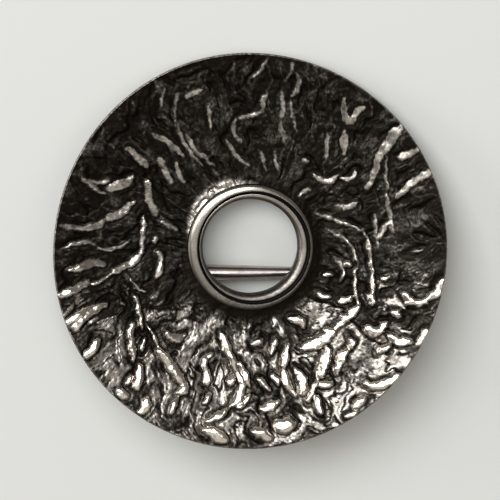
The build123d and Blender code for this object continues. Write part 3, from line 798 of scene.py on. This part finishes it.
silver = silver_effect()
oxidised = silver_finish(
    "oxidised_silver",
    {
        "Black": (0.0105, 0.0082, 0.006, 1),
        "Bright": (0.64, 0.565, 0.475, 1),
        "Black roughness": 0.45,
        "Bright roughness": 0.165,
        "Mottling": 0.35,
    },
    grain=0.1,
    mark="rubbed",
)
ridge_object = put_in_scene("ridge_lines", ridge_lines())
plate_sizes = {
    "Ridge lines": ridge_object,
    "Ridge height, top": 0.11,
    "Ridge height, bottom": 0.5,
    "Ridge slant": (0.16, -0.08, 0.0),
    "Ridge raggedness": 1.6,
    "Border wander": 0.9,
    "Folds round the disc": 5.0,
    "Fold length": 8.0,
    "Folds beside a ridge": 1.0,
    "Fold swirl": 1.8,
    "Fold height, top": 0.12,
    "Fold height, bottom": 0.12,
    "Rolling height, top": 0.26,
    "Rolling height, bottom": 0.36,
    "Grain height": 0.16,
    "Skin below the rim": 0.18,
    "Rim relief": 0.5,
    "Collar swell": 0.3,
    # The fold and hollow rub below is partly wear and partly painted light, brighter lower down
    "Fold rub and painted light, top": 0.27,
    "Fold rub and painted light, bottom": 1.6,
    "Fullest fold rub and painted light": 0.75,
    "Hollow rub and painted light": 0.8,
    "Cracks to a mm": 0.45,
    "Fraying": 0.6,
    "Threads round the disc": 9.0,
    "Thread rub": 0.28,
    "Rub beside the collar": 0.75,
    # Painted shade: less rub, so darker, to the left
    "Painted shade to the left": 0.8,
    "Crescent painted highlight": 0.92,
    "Back rub": 0.8,
    "Rim rub": 0.6,
    "Seed": 3.0,
}
wrinkling = wrinkling_tree(plate_sizes, oxidised)
plate = made_by(wrinkling, "crinkled_plate", plate_blank(), plate_sizes)
bpy.data.objects.remove(ridge_object)
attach(plate, "brooch")
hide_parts("brooch_disc")


# Collar
# A short stepped silver tube through the hole with a ring of round wire soldered on each step,
# the inner one lower, filed smooth and polished, with black left in the groove between them.
bore_radius = 5.45
tube_radius = 7.18
collar_turns = 384
collar_foot = -1.25
wall_base = 0.25
groove_radius, groove_height = 6.26, 0.9
groove_off_centre = (0.28, -0.05)
outer_ring_top = 1.88
inner_ring_top = 1.45

# The rings are painted darker towards the bottom of the face, by up to this share: painted shade
painted_shade_below = 0.3

# Each ring's section as places along it, away from the groove: the radius, the slope there in
# degrees, how far it is rubbed, and how much of the groove's offset it shares
section_columns = ("radius", "slope", "rub", "share")
outer_ring_rows = (
    (6.43, -75, 0.0, 1.35),
    (6.46, -40, 0.4, 1.35),
    (6.49, -10, 0.9, 1.25),
    (6.54, 3, 1.0, 1.10),
    (6.62, 6, 1.0, 0.90),
    (6.71, 9, 1.0, 0.70),
    (6.80, 12, 1.0, 0.50),
    (6.88, 16, 1.0, 0.35),
    (6.94, 24, 1.0, 0.25),
    (7.00, 31, 0.9, 0.15),
    (7.06, 37, 0.8, 0.08),
    (7.12, 48, 0.6, 0.0),
    (7.16, 65, 0.3, 0.0),
    (7.18, 85, 0.1, 0.0),
)
inner_ring_rows = (
    (6.14, -75, 0.0, 1.0),
    (6.11, -40, 0.4, 1.0),
    (6.07, -8, 0.9, 0.95),
    (6.02, 4, 1.0, 0.85),
    (5.94, 8, 1.0, 0.70),
    (5.86, 12, 1.0, 0.55),
    (5.79, 17, 1.0, 0.42),
    (5.74, 26, 0.9, 0.34),
    (5.68, 36, 0.8, 0.25),
    (5.60, 44, 0.7, 0.15),
    (5.51, 54, 0.6, 0.05),
    (5.47, 68, 0.4, 0.0),
    (5.45, 85, 0.3, 0.0),
)


def ring_section(rows, top):
    """Points of one ring's section, away from the groove, each with a radius, a height, its rub
    and its share of the groove's offset. The heights are summed from the slopes."""
    places = [dict(zip(section_columns, row)) for row in rows]
    heights = [0.0]
    for here, there in zip(places, places[1:]):
        slope = radians((here["slope"] + there["slope"]) / 2)
        heights.append(heights[-1] - abs(there["radius"] - here["radius"]) * tan(slope))
    lift = top - max(heights)
    return [
        (place["radius"], height + lift, place["rub"], place["share"])
        for place, height in zip(places, heights)
    ]


def lathe(name, outline, turns, centre_y):
    """A closed ring from an outline of radius, height, rub and share of the groove's offset. The
    rub is painted darker towards the bottom of the ring, as shade.
    """
    points, faces, rubs_with_painted_shade = [], [], []
    for radius, height, rub, share in outline:
        for i in range(turns):
            turn = 2 * pi * i / turns
            across = radius * cos(turn) + share * groove_off_centre[0]
            up = centre_y + radius * sin(turn) + share * groove_off_centre[1]
            points.append((across, up, height))
            # The rub falls off towards the bottom of the ring: painted shade
            rubs_with_painted_shade.append(rub * (1 - painted_shade_below * max(0, -sin(turn))))
    for k in range(len(outline)):
        here, there = k * turns, (k + 1) % len(outline) * turns
        for i in range(turns):
            j = (i + 1) % turns
            faces.append((here + i, here + j, there + j, there + i))
    mesh = bpy.data.meshes.new(name)
    mesh.from_pydata(points, [], faces)
    mesh.attributes.new("rubbed", "FLOAT", "POINT").data.foreach_set("value", rubs_with_painted_shade)
    mesh.transform(laid_down)
    mesh.shade_smooth()
    return put_in_scene(name, mesh)


collar_outline = [(tube_radius, collar_foot, 0.5, 0.0), (tube_radius, wall_base, 0.1, 0.0)]
collar_outline += reversed(ring_section(outer_ring_rows, outer_ring_top))
collar_outline += [(groove_radius, groove_height, 0.0, 1.0)]
collar_outline += ring_section(inner_ring_rows, inner_ring_top)
collar_outline += [(bore_radius, 0.0, 0.3, 0.0), (bore_radius, collar_foot, 0.3, 0.0)]
collar_silver = silver_finish(
    "collar_silver",
    {
        "Black": (0.012, 0.010, 0.009, 1),
        "Bright": (0.36, 0.316, 0.262, 1),
        "Black roughness": 0.5,
        "Bright roughness": 0.2,
        "Mottling": 0.3,
    },
    grain=0.08,
    grain_depth=0.04 * MM,
    mark="rubbed",
)
collar = lathe("collar", collar_outline, collar_turns, hole_offset)
collar.data.materials.append(collar_silver)
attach(collar, "brooch")
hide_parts("brooch_disc")


# Hinge bracket
# A flat silver pad with two upright ears, soldered to the hidden back. The rivet runs through
# both ears and the pin's knuckle turns between them.
ear_radius = 1.3
ear_thickness = 0.7
ear_steps = 48
ear_spread = 1.45
rivet_hole = 0.52
bracket_top = 3.94
pad_length, pad_width = 4.0, 5.0
pad_low, pad_top = 2.767, 3.9

# Edges that turn by more than the sharp turn, in radians, are eased over this width
bracket_bevel = 0.08
sharp_turn = 0.9


def punched(name, pairs, closed):
    """A flat piece with a hole or bore, from pairs of an inner and an outer place along its
    outline, each of which has a near and a far side. A closed one runs right round its hole."""
    points, faces = [], []
    for inner_near, outer_near, outer_far, inner_far in pairs:
        points += [inner_near, outer_near, outer_far, inner_far]
    count = len(pairs)
    for k in range(count if closed else count - 1):
        here, there = 4 * k, 4 * ((k + 1) % count)
        for i in range(4):
            j = (i + 1) % 4
            faces.append((here + i, there + i, there + j, here + j))
    if not closed:
        faces += [(0, 1, 2, 3), tuple(4 * count - 1 - i for i in range(4))]
    mesh = bpy.data.meshes.new(name)
    mesh.from_pydata(points, [], faces)
    return mesh


def ear(name, side):
    """One ear: round at its foot, square at its top, with the rivet's hole through it."""
    near, far = side * ear_spread - ear_thickness / 2, side * ear_spread + ear_thickness / 2
    pairs = []
    for step in range(ear_steps):
        turn = 2 * pi * (step + 0.5) / ear_steps
        across, up = cos(turn), sin(turn)
        reach = ear_radius
        if up > 0:
            reach = min(ear_radius / abs(across), bracket_top / up)
        hole, edge = (rivet_hole * across, rivet_hole * up), (reach * across, reach * up)
        pairs.append(
            tuple(
                (hinge_x + p[0], pin_y + y, pin_z + p[1])
                for p, y in ((hole, near), (edge, near), (edge, far), (hole, far))
            )
        )
    return punched(name, pairs, True)


def finished(name, meshes, finish, bevel=0.0):
    """One piece made of solid meshes, with its sharp edges eased, facing outward and laid down."""
    work = bmesh.new()
    for mesh in meshes:
        work.from_mesh(mesh)
        bpy.data.meshes.remove(mesh)
    if bevel:
        edges = [e for e in work.edges if e.is_manifold and e.calc_face_angle() > sharp_turn]
        bmesh.ops.bevel(work, geom=edges, offset=bevel, segments=2, profile=0.5, affect="EDGES")
    bmesh.ops.recalc_face_normals(work, faces=work.faces)
    mesh = bpy.data.meshes.new(name)
    work.to_mesh(mesh)
    work.free()
    mesh.transform(laid_down)
    mesh.materials.append(finish)
    return put_in_scene(name, mesh)


def block(name, centre, size):
    """A plain block."""
    work = bmesh.new()
    bmesh.ops.create_cube(work, size=1.0)
    bmesh.ops.scale(work, vec=size, verts=work.verts)
    bmesh.ops.translate(work, vec=centre, verts=work.verts)
    mesh = bpy.data.meshes.new(name)
    work.to_mesh(mesh)
    work.free()
    return mesh


back_silver = silver_finish(
    "back_silver",
    {
        "Rub and painted light": 0.62,
        "Black": (0.05, 0.045, 0.04, 1),
        "Bright": (0.50, 0.46, 0.42, 1),
        "Black roughness": 0.45,
        "Bright roughness": 0.28,
        "Mottling": 0.2,
    },
    grain=0.15,
)
pad_place = (hinge_x, pin_y, pin_z + (pad_low + pad_top) / 2)
pad = block("pad", pad_place, (pad_length, pad_width, pad_top - pad_low))
bracket_solids = [pad, ear("ear_low", -1), ear("ear_high", 1)]
bracket = finished("hinge_bracket", bracket_solids, back_silver, bracket_bevel)
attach(bracket, "brooch")
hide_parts("brooch_disc")


# Catch
# A plain open hook of silver on a short neck, soldered to the hidden back at the other side. Its
# mouth faces away from the back, and the brooch lies on its lips.
catch_x = 14.7
catch_width = 2.6
catch_bore = 0.675
catch_mouth = 1.0
catch_neck = 0.95
catch_top = 3.9
catch_steps = 40

# The hinge's ears stand out past the hook's lips. The brooch leans, so the lips have to reach
# further than the ears for both to touch the surface that it lies on.
ear_lead = ear_spread + ear_thickness / 2 - catch_mouth / 2
lip_depth = ear_radius + ear_lead * lean[1][2] / lean[1][1]
catch_reach = hypot(lip_depth, catch_mouth / 2)


def catch_outline():
    """Pairs of places along the hook, from one lip over the neck to the other lip."""
    lip = asin(catch_mouth / 2 / catch_reach)
    bore_lip = asin(catch_mouth / 2 / catch_bore)
    places = []
    for step in range(catch_steps + 1):
        t = step / catch_steps
        inner = -pi / 2 + bore_lip + 2 * (pi - bore_lip) * t
        outer = -pi / 2 + lip + 2 * (pi - lip) * t
        hole = (catch_bore * cos(inner), catch_bore * sin(inner))
        edge = (catch_reach * cos(outer), catch_reach * sin(outer))
        if abs(edge[0]) < catch_neck / 2 and edge[1] > 0:
            edge = (edge[0], catch_top)
        places.append((hole, edge))
    return places


near, far = catch_x - catch_width / 2, catch_x + catch_width / 2
pairs = [
    tuple(
        (x, pin_y + p[0], pin_z + p[1])
        for p, x in ((hole, near), (edge, near), (edge, far), (hole, far))
    )
    for hole, edge in catch_outline()
]
catch = finished("catch", [punched("hook", pairs, False)], back_silver)
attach(catch, "brooch")
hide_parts("brooch_disc")


# Pin stem and rivet
# The stem is one turned and tapered round wire with a knuckle, polished bright. It swings on a
# plain rivet. Both keep their shapes from the frame.
polished = silver_finish(
    "polished_silver",
    {
        "Rub and painted light": 1.0,
        "Black": (0.05, 0.045, 0.04, 1),
        "Bright": (0.54, 0.475, 0.415, 1),
        "Black roughness": 0.3,
        "Bright roughness": 0.25,
        "Mottling": 0.12,
    },
    grain=0.03,
    grain_depth=0.03 * MM,
)
for name in ("pin_stem", "hinge_rivet"):
    node = frame["nodes"][name]
    node.data.materials.clear()
    node.data.materials.append(polished)


# Table, light and camera
# A plain pale table, a bright window-like softbox up to the left, a broad dim one overhead, a
# weak one far to the left, and a dim room.
table_reach = 1.2
table_colour = (0.715, 0.70, 0.64, 1)
table_roughness = 0.9
room_colour = (0.24, 0.235, 0.23, 1)
room_glow = 1.0
photo_width_seen = 57.0 * MM
camera_distance = 0.6
camera_side, camera_above = -3, 5
light_distance = 1.0

# The soft light boxes: their angles off the disc's axis to the right and up, in degrees, their
# sizes in metres, their glow and their tint
light_columns = ("name", "side", "above", "width", "height", "glow", "tint")
light_rows = (
    ("key_light", -18, 17, 0.73, 0.44, 8.8, (0.95, 1.0, 1.07)),
    ("side_light", -65, 5, 0.48, 0.60, 2.6, (1.0, 1.0, 1.0)),
    ("top_light", 5, -19, 0.93, 0.57, 0.72, (1.0, 1.0, 1.0)),
)

mesh = bpy.data.meshes.new("table")
mesh.from_pydata([(-1, -1, 0), (1, -1, 0), (1, 1, 0), (-1, 1, 0)], [], [(0, 1, 2, 3)])
mesh.transform(Matrix.Scale(table_reach, 4))
table_white = bpy.data.materials.new("table_white")
table_white.use_nodes = True
table_shader = table_white.node_tree.nodes["Principled BSDF"].inputs
table_shader["Base Color"].default_value = table_colour
table_shader["Roughness"].default_value = table_roughness
mesh.materials.append(table_white)
table = put_in_scene("table", mesh)


def seen_from(side, above, distance):
    """A place in front of the face, by its angles off the disc's axis to the right and up."""
    direction = Vector((tan(radians(side)), tan(radians(above)), 1.0)).normalized()
    return middle + lean.to_3x3() @ direction * distance


def aim(thing, target):
    """Turns a light or camera at a target, upright along the top of the face."""
    back = (thing.location - target).normalized()
    up = lean.to_3x3() @ Vector((0, 1, 0))
    right = up.cross(back).normalized()
    turned = Matrix((right, back.cross(right), back)).transposed().to_4x4()
    thing.matrix_world = Matrix.Translation(thing.location) @ turned


def soft_light(name, side, above, width, height, glow, tint):
    """A soft light box that shines on the brooch, as bright all over as its glow."""
    light = bpy.data.lights.new(name, "AREA")
    light.shape = "RECTANGLE"
    light.size = width
    light.size_y = height
    light.energy = glow * pi * width * height
    light.color = tint
    lamp = put_in_scene(name, light)
    lamp.location = seen_from(side, above, light_distance)
    aim(lamp, middle)


for row in light_rows:
    soft_light(**dict(zip(light_columns, row)))

world = bpy.data.worlds.new("studio")
bpy.context.scene.world = world
world.use_nodes = True
room = world.node_tree.nodes["Background"].inputs
room["Color"].default_value = room_colour
room["Strength"].default_value = room_glow

camera = bpy.data.cameras.new("camera")
camera.sensor_width = 36.0
camera.lens = camera.sensor_width * camera_distance / photo_width_seen
eye = put_in_scene("camera", camera)
eye.location = seen_from(camera_side, camera_above, camera_distance)
aim(eye, middle)
bpy.context.scene.camera = eye
bpy.context.scene.view_settings.view_transform = "Standard"
